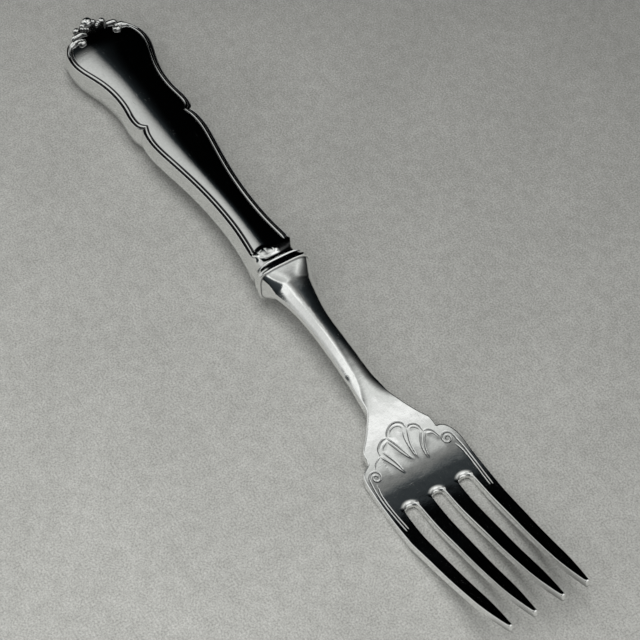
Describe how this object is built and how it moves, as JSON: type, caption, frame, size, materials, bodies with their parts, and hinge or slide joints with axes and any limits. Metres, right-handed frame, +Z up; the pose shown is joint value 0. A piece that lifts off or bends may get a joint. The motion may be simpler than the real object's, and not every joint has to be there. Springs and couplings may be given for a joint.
{
  "type": "fish fork",
  "caption": "Polished silver fish fork: forged tined head with a shell engraved at its shoulders, slim neck, flared bolster, and a hollow thread-bordered handle.",
  "frame": {"origin": "middle of the fork's length and width, on the table that it lies on face up", "axes": "+X from the butt of the handle to the tines, +Y across the tines, +Z up out of the face"},
  "size_m": [0.18, 0.0222, 0.0122],
  "materials": {
    "head_silver": "polished",
    "collar_silver": "polished",
    "handle_silver": "polished",
    "solder": "satin",
    "resin": "matte"
  },
  "bodies": {
    "root": {"fork_head": "head_silver", "mouth_collar": "collar_silver", "handle_front_shell": "handle_silver", "handle_back_shell": "handle_silver", "seam_solder": "solder", "resin_core": "resin"}
  },
  "joints": []
}
